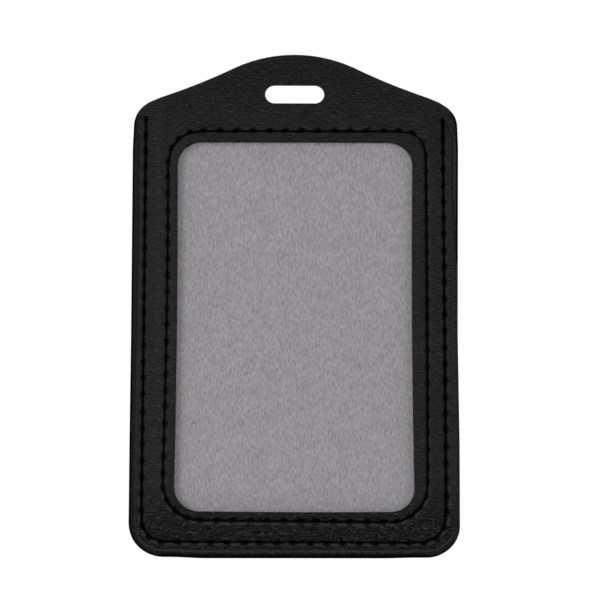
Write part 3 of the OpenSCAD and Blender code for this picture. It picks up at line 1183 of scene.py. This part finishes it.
def cloth_material(finish, name):
    """Grey brushed cloth with a darker border, painted light on that border where the mesh marks it, and
    black painted edges.
    """
    made, tree, shader, place = new_material(name)
    nap = placed(tree, "Napped cloth", {
        "Vector": place, "Strand width": finish.strand_w, "Strand length": finish.strand_l,
    })
    strands = mixed(tree, nap["Strand"], rgba(finish.cloth_dark), rgba(finish.cloth_light))
    patch = ranged(tree, nap["Patch"], 0.3, 0.7, 0.0, 0.2)
    patched = mixed(tree, patch, strands, rgba(finish.cloth_dark))
    # The darker border, with painted light where the mesh marks it
    border = mixed(tree, painted_mark_of(tree, "painted_highlight"), rgba(finish.ledge), rgba(finish.painted_light))
    darkened = mixed(tree, painted_mark_of(tree, "shade"), patched, border)
    paint_edges(tree, shader, place, finish, darkened, 0.9, 0.5)
    give(tree, shader.inputs, {
        "Specular IOR Level": 0.01, "Normal": bumped(tree, nap["Height"], 0.05 * MM),
    })
    return made


def board_material(finish):
    """Pressed grey-brown board with painted edges."""
    made, tree, shader, place = new_material("Board")
    fleck = noise(tree, place, 900.0, 4.0)
    base = mixed(tree, fleck, rgba(finish.board), rgba(finish.board, 1.2))
    paint_edges(tree, shader, place, finish, base, 0.85, 0.45)
    return made


def thread_material(finish):
    """Black bonded thread with a right-hand twist."""
    made, tree, shader, _ = new_material("Thread")
    uv = node(tree, "ShaderNodeUVMap", uv_map="thread").outputs[0]
    parts = node(tree, "ShaderNodeSeparateXYZ", {0: uv}).outputs
    turns = maths(tree, "ADD", times(tree, parts[0], 2.0), times(tree, parts[1], 7.0))
    ply = maths(tree, "SINE", times(tree, turns, 2 * math.pi))
    # Painted light and shade along the twist: the plies' tops lighter than the grooves between them
    dark = ranged(tree, ply, -1.0, 0.0, 0.0, 1.0)
    give(tree, shader.inputs, {
        "Base Color": mixed(tree, dark, rgba(finish.thread), rgba(finish.thread, 1.6)),
        "Roughness": 0.6, "Specular IOR Level": 0.01, "Normal": bumped(tree, ply, 0.03 * MM),
    })
    return made


def film_material():
    """Clear soft film, a little uneven. Lamps shine through it."""
    made, tree, shader, place = new_material("Film")
    give(tree, shader.inputs, {
        "Base Color": (1, 1, 1, 1), "Roughness": 0.04, "IOR": 1.45, "Transmission Weight": 1.0,
        "Normal": bumped(tree, noise(tree, place, 45.0, 1.0), 0.15 * MM),
    })
    path = tree.nodes.new("ShaderNodeLightPath").outputs
    through = larger(tree, path["Is Shadow Ray"], path["Is Diffuse Ray"])
    clear = tree.nodes.new("ShaderNodeBsdfTransparent").outputs[0]
    mix_in(tree, through, shader, clear)
    return made


def declare_cloth(plan):
    """Finds a cloth piece's outline and its holes, and does nothing more with them."""
    edge = plan.rim(0)
    holes = [plan.slot_ring(0)]
    if plan.window:
        holes.append(plan.loop_ring(plan.window))


def dress(piece, material, slot, *nodes):
    """Gives a new piece its material and hides the nodes that it stands for. Its slot is not used."""
    piece.data.materials.clear()
    piece.data.materials.append(material)
    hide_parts(*nodes)


def across_mouth(piece):
    """Lets a piece bend from the wallet into the tab over the mouth's hinge."""
    bend_y, bend_z = MOUTH["pos_m"][1], MOUTH["pos_m"][2]
    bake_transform(piece, "wallet", "mouth_tab", start=(0, bend_y, bend_z - 1.3 * MM),
             end=(0, bend_y, bend_z + 1.5 * MM))


def settings_of(context):
    """The wallet's settings in this scene."""
    return context.scene.badge_wallet


def front_plan(settings, cell):
    """The plan of the front cover's sheets."""
    cover = settings.cover
    radii = (cover.front_left, cover.front_right)
    return Plan(settings, cover.front_x, cover.front_bottom, radii, cell, True)


def back_plan(settings, cell, shy=0.0):
    """The plan of the back cover's sheets, or of layers that stop so far short of its edge."""
    cover = settings.cover
    radii = (cover.back_left - shy, cover.back_right - shy)
    half_width, bottom = cover.back_x - shy, cover.back_bottom + shy
    return Plan(settings, half_width, bottom, radii, cell, False, cover.slot_rise)


# Operators: one for each piece or group of like pieces, and one for the stage

# Rounding of the cloth's and the board's edges, and the spacing of their meshes along the outline
THIN_EDGE = 0.03 * MM
THIN_CELL = 1 * MM
# Rounding of the back leather's outer edge
BACK_EDGE = 0.25 * MM
# Where the front leather gets painted highlights, measured down from the slot: its seams' lips, and its
# outer edge
HIGHLIGHTED_LIPS = (86 * MM, 97 * MM)
HIGHLIGHTED_EDGE = (97 * MM, 103 * MM)
# Over this length from each of its ends a stitch dives into its needle hole
DIVE = 0.4 * MM


class BADGE_OT_front_leather(bpy.types.Operator):
    """The formed front of leather grain, from its tab to its lower edge"""

    bl_idname = "badge.front_leather"
    bl_label = "Front leather"

    def execute(self, context):
        settings = settings_of(context)
        cover = settings.cover
        plan = front_plan(settings, cover.cell)
        front, back = FRONT[0].y, FRONT_LINING[0].y
        seams = both_seams(settings)

        def height(points):
            pull = sum(seam.pull(points) for seam in seams)
            fold = FOLD_DEPTH * hill(outline_distance(FOLDS, points), FOLD_W)
            uneven = waves(points, 9 * MM, 0.03 * MM)
            return eased(cover, front, points) + pull + plan.edges(points, cover.edge_r) + fold + uneven

        # Painted shade in the shoulder folds and along the seams
        def shade(points):
            fold = FOLD_SHADE * hill(outline_distance(FOLDS, points), FOLD_SHADE_W)
            return np.max([fold, *(seam.shade(points) for seam in seams)], axis=0)

        # Painted highlights on the lips outside the seams, stronger towards the foot, and along the outer
        # edge, strongest at the foot
        def painted_highlight(points):
            lips = np.max([seam.painted_highlight(points) for seam in seams], axis=0)
            lips = lips * (0.2 + 0.8 * smooth(*HIGHLIGHTED_LIPS, -points[:, 1]))
            edge = hill(plan.outer_distance(points) - 0.75 * MM, 0.28 * MM)
            return np.maximum(edge * (0.15 + 0.6 * smooth(*HIGHLIGHTED_EDGE, -points[:, 1])), lips)

        shift = out_of_true(plan, True)
        # Edge paint 0.3 mm wide round the outer edge, which also stands in for the shadow line where the
        # border meets the ledge
        paint = cut_paint(plan, 0.3 * MM, 0.02 * MM)
        detailed = Face(height, shift, paint=paint, shade=shade, painted_highlight=painted_highlight)
        plain = Face(lambda points: formed(cover, back, points), shift, paint=same(1.0))
        piece = front_sheet("front_leather", plan, detailed, plain, cover.edge_r, cover.cut_r)
        dress(piece, leather_material(settings.finish, "Front leather", True), "front_leather",
              "front_cover", "front_tab")
        across_mouth(piece)
        return {"FINISHED"}


class BADGE_OT_front_lining(bpy.types.Operator):
    """The napped cloth behind the front leather"""

    bl_idname = "badge.front_lining"
    bl_label = "Front lining"

    def execute(self, context):
        settings = settings_of(context)
        cover = settings.cover
        plan = front_plan(settings, THIN_CELL)
        front, back = FRONT_LINING[0].y, FILM[0].y
        shift = out_of_true(plan, True)
        paint = cut_paint(plan, 0.4 * MM, 0.4 * MM)
        detailed = Face(lambda points: formed(cover, front, points), shift, paint=paint)
        plain = Face(lambda points: formed(cover, back, points), shift, paint=paint)
        piece = front_sheet("front_lining_cloth", plan, detailed, plain, THIN_EDGE, THIN_EDGE)
        dress(piece, cloth_material(settings.finish, "Front lining cloth"), "lining",
              "front_lining", "front_tab_lining")
        across_mouth(piece)
        declare_cloth(plan)
        return {"FINISHED"}


class BADGE_OT_window_film(bpy.types.Operator):
    """The clear film behind the window"""

    bl_idname = "badge.window_film"
    bl_label = "Window film"

    def execute(self, context):
        film = frame["nodes"]["window_film"]
        film.data.materials.clear()
        film.data.materials.append(film_material())
        return {"FINISHED"}


class BADGE_OT_back_leather(bpy.types.Operator):
    """The plain back of leather grain"""

    bl_idname = "badge.back_leather"
    bl_label = "Back leather"

    def execute(self, context):
        settings = settings_of(context)
        cover = settings.cover
        plan = back_plan(settings, cover.cell)
        seam = both_seams(settings)[1]

        def height(points):
            edge = plan.edges(points, BACK_EDGE)
            return BACK[1].y - seam.pull(points) - edge - waves(points, 11 * MM, 0.03 * MM)

        shift = out_of_true(plan, False)
        paint = cut_paint(plan, 0.25 * MM, 0.1 * MM)
        detailed = Face(height, shift, paint=paint, shade=seam.shade)
        plain = Face(same(BACK[0].y), shift, paint=same(1.0))
        piece = back_sheet("back_leather", plan, detailed, plain, BACK_EDGE, cover.cut_r,
                           (5, 4, 6), (60, 90))
        dress(piece, leather_material(settings.finish, "Back leather", False), "back_leather",
              "back_cover")
        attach(piece, "wallet")
        return {"FINISHED"}


class BADGE_OT_back_layers(bpy.types.Operator):
    """The stiffener board and the napped cloth in front of it"""

    bl_idname = "badge.back_layers"
    bl_label = "Back board and lining"

    def execute(self, context):
        settings = settings_of(context)
        finish = settings.finish
        plan = back_plan(settings, THIN_CELL, settings.cover.shy)
        shift = out_of_true(plan, False)

        # Edge paint, and a painted shadow over the ledge along the foot
        def black(points):
            foot = smooth(105 * MM, 105.3 * MM, -points[:, 1])
            return np.maximum(foot, cut_paint(plan, 0.25 * MM, 0.4 * MM)(points))

        # Painted light on the right side of the cloth's border, where that border lies in shadow
        def painted_uneven_light(points):
            return 0.6 * smooth(30 * MM, 36 * MM, points[:, 0])

        # The cloth's border is darker within 3 mm of its outer edge and 1 mm of the slot
        painted_marks = {"paint": black, "shade": cut_paint(plan, 3 * MM, 1 * MM), "painted_highlight": painted_uneven_light}
        layers = [
            ("stiffener_board", "back_board", "board", BOARD, board_material(finish)),
            ("back_lining_cloth", "back_lining", "back_lining", BACK_LINING,
             cloth_material(finish, "Back lining cloth")),
        ]
        for name, node_name, slot, (low, high), material in layers:
            detailed = Face(same(low.y), shift, **painted_marks)
            plain = Face(same(high.y), shift, **painted_marks)
            piece = back_sheet(name, plan, detailed, plain, THIN_EDGE, THIN_EDGE, (2, 1, 2), (12, 18))
            dress(piece, material, slot, node_name)
            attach(piece, "wallet")
        declare_cloth(plan)
        return {"FINISHED"}


def stitch_row(name, seam, face, out):
    """A row of stitches from hole to hole, let into a face that looks along out."""
    stitch = seam.stitch
    bm = bmesh.new()
    bm.loops.layers.uv.new("thread")
    bmesh.ops.create_cone(
        bm, segments=6, radius1=0.5, radius2=0.5, depth=1, cap_ends=True, calc_uvs=True,
    )
    long = [e for e in bm.edges if abs(e.verts[0].co.z - e.verts[1].co.z) > 0.5]
    bmesh.ops.subdivide_edges(bm, edges=long, cuts=6, use_grid_fill=True)
    pattern = [*bm.verts, *bm.edges, *bm.faces]
    for start, end in seam.rows():
        along = Vector((end[0] - start[0], 0, end[1] - start[1]))
        side = along.normalized().cross(Vector((0, out, 0)))
        base = Vector((start[0], face(start), start[1]))
        for vert in bmesh.ops.duplicate(bm, geom=pattern)["geom"]:
            if not isinstance(vert, bmesh.types.BMVert):
                continue
            place = vert.co.z + 0.5
            near = min(place, 1 - place) * along.length
            dip = stitch.sink + stitch.plunge * hill(near, DIVE)
            depth = stitch.thread_t / 2 + dip - vert.co.y * stitch.thread_t
            across = side * vert.co.x * stitch.thread_w
            vert.co = base + along * place + across - Vector((0, out * depth, 0))
    pattern = [item for item in pattern if isinstance(item, bmesh.types.BMVert)]
    bmesh.ops.delete(bm, geom=pattern, context="VERTS")
    bmesh.ops.recalc_face_normals(bm, faces=bm.faces)
    return to_object(bm, name, crease=80)


def sew(settings, number, rows):
    """Makes the rows of stitches of one seam, each over the node that it stands for."""
    seam = both_seams(settings)[number]
    material = thread_material(settings.finish)
    for name, node_name, face, out in rows:
        piece = stitch_row(name, seam, face, out)
        dress(piece, material, "thread", node_name)
        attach(piece, "wallet")


class BADGE_OT_window_stitches(bpy.types.Operator):
    """The window seam: needle thread in front and bobbin thread behind the film"""

    bl_idname = "badge.window_stitches"
    bl_label = "Window seam"

    def execute(self, context):
        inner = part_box("window_seam_bobbin_thread")[1].y
        sew(settings_of(context), 0, [
            ("window_stitches", "window_seam_top_thread", lambda hole: FRONT[0].y, -1),
            ("window_bobbin_stitches", "window_seam_bobbin_thread", lambda hole: inner, 1),
        ])
        return {"FINISHED"}


class BADGE_OT_side_stitches(bpy.types.Operator):
    """The side seam: needle thread in front and bobbin thread on the back"""

    bl_idname = "badge.side_stitches"
    bl_label = "Side seam"

    def execute(self, context):
        settings = settings_of(context)

        def front(hole):
            return float(eased(settings.cover, FRONT[0].y, np.array([hole]))[0])

        sew(settings, 1, [
            ("side_stitches", "side_seam_top_thread", front, -1),
            ("side_bobbin_stitches", "side_seam_bobbin_thread", lambda hole: BACK[1].y, 1),
        ])
        return {"FINISHED"}


class BADGE_OT_stage(bpy.types.Operator):
    """A pale floor, plain soft light and the camera"""

    bl_idname = "badge.stage"
    bl_label = "Stage"

    def execute(self, context):
        stage = settings_of(context).stage
        make_world(context.scene, stage)
        make_floor(stage)
        middle = Vector((0, 0, (CAD_BOX[0].z + CAD_BOX[1].z) / 2))
        make_lamp("key", middle, azimuth=-31, elevation=8, size=0.4, power=stage.key)
        make_lamp("fill", middle, azimuth=32, elevation=-6, size=0.5, power=stage.fill)
        make_lamp("rear", middle, azimuth=190, elevation=45, size=0.6, power=stage.rear)
        make_camera(context.scene, stage)
        context.scene.view_settings.view_transform = "Standard"
        return {"FINISHED"}


def seen_rays(tree):
    """One for what the camera sees straight, in gloss or through glass, and nought for light."""
    path = tree.nodes.new("ShaderNodeLightPath").outputs
    seen = larger(tree, path["Is Camera Ray"], path["Is Glossy Ray"])
    return larger(tree, seen, path["Is Transmission Ray"])


def make_world(scene, stage):
    """Even light from all round, which the camera, gloss and glass see as white."""
    world = bpy.data.worlds.new("Studio")
    world.use_nodes = True
    tree = world.node_tree
    tree.nodes.clear()
    light = node(tree, "ShaderNodeBackground", {0: (1, 1, 1, 1), 1: stage.sky}).outputs[0]
    white = node(tree, "ShaderNodeBackground", {0: (1, 1, 1, 1), 1: 1.0}).outputs[0]
    both = node(tree, "ShaderNodeMixShader", {0: seen_rays(tree), 1: light, 2: white}).outputs[0]
    node(tree, "ShaderNodeOutputWorld", {"Surface": both})
    scene.world = world


def make_floor(stage):
    """A round pale floor that fades to white far from the wallet."""
    bm = bmesh.new()
    bmesh.ops.create_circle(bm, cap_ends=True, segments=96, radius=3.0)
    bmesh.ops.translate(bm, verts=bm.verts, vec=(0, 0, stage.floor_z))
    floor = to_object(bm, "floor", crease=30)
    made, tree, shader, place = new_material("Floor")
    speck = noise(tree, place, 60.0, 3.0)
    give(tree, shader.inputs, {
        "Base Color": mixed(tree, speck, (0.86, 0.86, 0.86, 1), (0.89, 0.89, 0.89, 1)),
        "Roughness": 0.9, "Specular IOR Level": 0.1,
    })
    flat = vector_maths(tree, "MULTIPLY", {0: place, 1: (1, 1, 0)})[0]
    far = vector_maths(tree, "LENGTH", {0: flat})["Value"]
    faded = times(tree, ranged(tree, far, 0.15, 0.7, 0.0, 1.0), seen_rays(tree))
    white = node(tree, "ShaderNodeEmission", {"Color": (1, 1, 1, 1), "Strength": 1.0}).outputs[0]
    mix_in(tree, faded, shader, white)
    floor.data.materials.append(made)


def make_lamp(name, middle, azimuth, elevation, size, power):
    """A soft square lamp a metre off that faces the middle. Azimuth 0 is in front, 90 to the right."""
    lamp = bpy.data.lights.new(name, "AREA")
    lamp.size = size
    lamp.energy = power
    made = bpy.data.objects.new(name, lamp)
    a, e = math.radians(azimuth), math.radians(elevation)
    away = Vector((math.sin(a) * math.cos(e), -math.cos(a) * math.cos(e), math.sin(e)))
    made.location = middle + away
    made.rotation_euler = away.to_track_quat("Z", "Y").to_euler()
    bpy.context.scene.collection.objects.link(made)


def make_camera(scene, stage):
    """The photograph's viewpoint, a little below the middle."""
    pitch, yaw, roll = (math.radians(a) for a in (stage.pitch, stage.yaw, stage.roll))
    ahead = Vector((math.sin(yaw) * math.cos(pitch), math.cos(yaw) * math.cos(pitch), math.sin(pitch)))
    level = Vector((math.cos(yaw), -math.sin(yaw), 0))
    above = level.cross(ahead)
    right = level * math.cos(roll) + above * math.sin(roll)
    up = above * math.cos(roll) - level * math.sin(roll)
    eye = Vector((stage.target_x, 0, stage.target_z)) - ahead * stage.distance
    camera = bpy.data.cameras.new("camera")
    camera.lens = stage.lens
    camera.sensor_width = 36
    camera.clip_start = 0.01
    made = bpy.data.objects.new("camera", camera)
    made.matrix_world = Matrix.Translation(eye) @ Matrix((right, up, -ahead)).transposed().to_4x4()
    scene.collection.objects.link(made)
    scene.camera = made


PIECES = [
    BADGE_OT_stage, BADGE_OT_front_leather, BADGE_OT_front_lining, BADGE_OT_window_film,
    BADGE_OT_back_leather, BADGE_OT_back_layers, BADGE_OT_window_stitches, BADGE_OT_side_stitches,
]


class BADGE_PT_wallet(bpy.types.Panel):
    """The wallet's settings and the buttons that build its pieces"""

    bl_idname = "BADGE_PT_wallet"
    bl_label = "Badge Wallet"
    bl_space_type = "VIEW_3D"
    bl_region_type = "UI"
    bl_category = "Badge Wallet"

    def draw(self, context):
        settings = settings_of(context)
        groups = (settings.cover, settings.window, settings.window_seam, settings.side_seam,
                  settings.stitch, settings.finish, settings.stage)
        for group in groups:
            box = self.layout.box()
            for name in group.bl_rna.properties.keys():
                if name not in ("rna_type", "name"):
                    box.prop(group, name)
        for piece in PIECES:
            self.layout.operator(piece.bl_idname)


CLASSES = [
    CoverSizes, WindowSizes, WindowSeamSizes, SideSeamSizes, StitchSizes, FinishSettings,
    StageSettings, BadgeWallet, *PIECES, BADGE_PT_wallet,
]


def register():
    for item in CLASSES:
        bpy.utils.register_class(item)
    bpy.types.Scene.badge_wallet = bpy.props.PointerProperty(type=BadgeWallet)


def unregister():
    del bpy.types.Scene.badge_wallet
    for item in reversed(CLASSES):
        bpy.utils.unregister_class(item)


def main():
    """Builds every piece."""
    register()
    bpy.ops.badge.stage()
    bpy.ops.badge.front_leather()
    bpy.ops.badge.front_lining()
    bpy.ops.badge.window_film()
    bpy.ops.badge.back_leather()
    bpy.ops.badge.back_layers()
    bpy.ops.badge.window_stitches()
    bpy.ops.badge.side_stitches()


if __name__ == "__main__":
    main()
